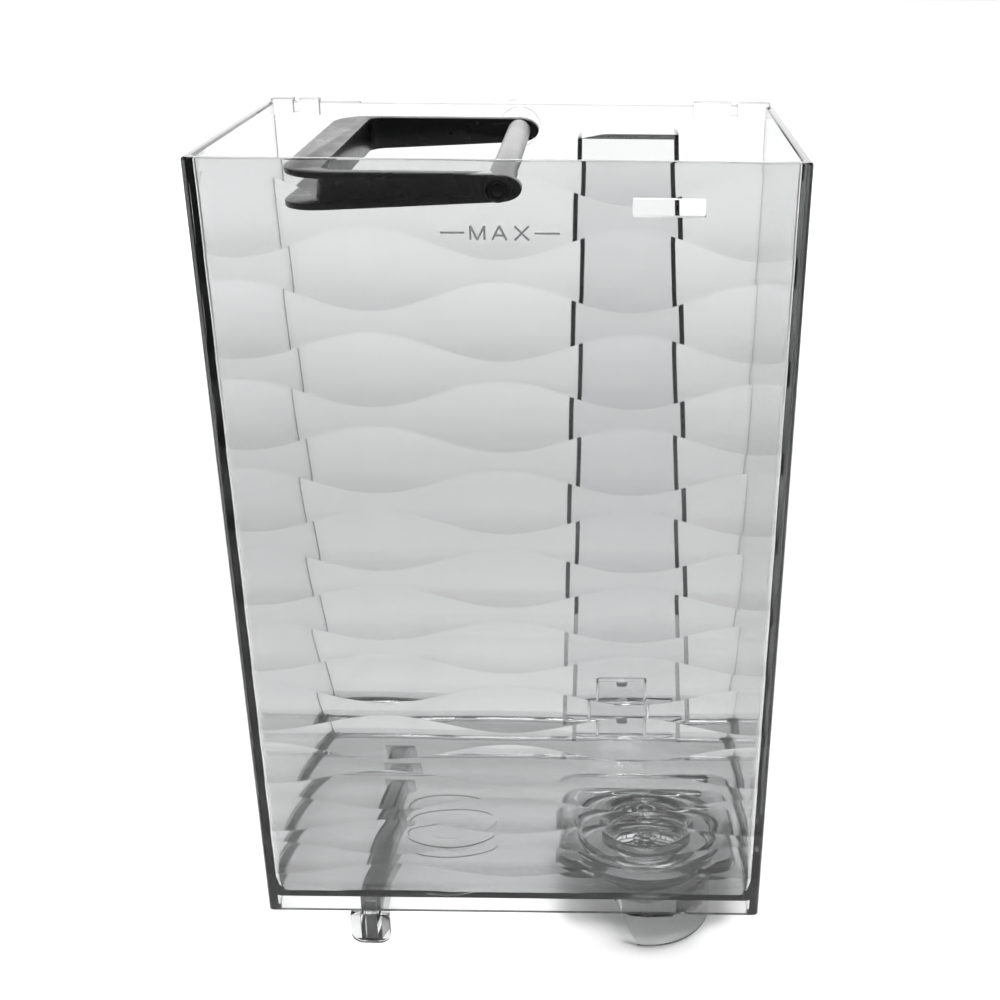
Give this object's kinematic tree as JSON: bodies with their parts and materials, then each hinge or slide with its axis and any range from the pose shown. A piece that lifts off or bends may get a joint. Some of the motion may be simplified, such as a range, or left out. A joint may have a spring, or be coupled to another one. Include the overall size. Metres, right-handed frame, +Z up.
{
  "type": "dehumidifier water tank",
  "caption": "Clear removable water tank with wave-fluted front, folding carry handle, float chute and sprung drain valve.",
  "frame": {"origin": "under the middle of the tank, at the level of its feet", "axes": "+Z up, +Y towards the rear wall with the float chute, +X to the right seen from the fluted front"},
  "size_m": [0.15, 0.094, 0.2375],
  "materials": {
    "clear_shell": "clear polished",
    "smoky_fittings": "clear, slightly grey",
    "black_handle": "satin black",
    "grey_axle": "satin grey",
    "silicone": "translucent silicone",
    "pad_rubber": "matte",
    "spring_wire": "bright stainless wire",
    "ferrite": "matte ferrite"
  },
  "bodies": {
    "tank": {"tank_body": "clear_shell", "front_axle_bush": "black_handle", "rear_axle_bush": "smoky_fittings", "float_chute": "clear_shell", "valve_collar": "smoky_fittings", "valve_housing": "smoky_fittings", "housing_gasket": "silicone", "valve_nut": "smoky_fittings", "valve_spring": "spring_wire", "spring_bridge": "smoky_fittings", "spout_shroud": "smoky_fittings", "keel_foot": "clear_shell", "keel_pad": "pad_rubber"},
    "handle": {"handle_loop": "black_handle", "handle_axle": "grey_axle", "front_pivot_pin": "black_handle", "rear_pivot_pin": "black_handle"},
    "float": {"float_shell": "clear_shell", "float_lid": "clear_shell", "float_magnet": "ferrite"},
    "poppet": {"valve_poppet": "smoky_fittings", "valve_seal": "silicone", "stem_cap": "smoky_fittings"}
  },
  "joints": [
    {"name": "handle_swing", "type": "hinge", "parent": "tank", "child": "handle", "pos_m": [0, 0, 0.2293], "axis": [0, 1, 0], "range_deg": [0, 90]},
    {"name": "float_rise", "type": "slide", "parent": "tank", "child": "float", "axis": [0, 0, 1], "range_m": [0, 0.182]},
    {"name": "poppet_lift", "type": "slide", "parent": "tank", "child": "poppet", "axis": [0, 0, 1], "range_m": [0, 0.004], "stiffness_N_per_m": 300, "springref_m": -0.008, "deforming": ["valve_spring"]}
  ]
}
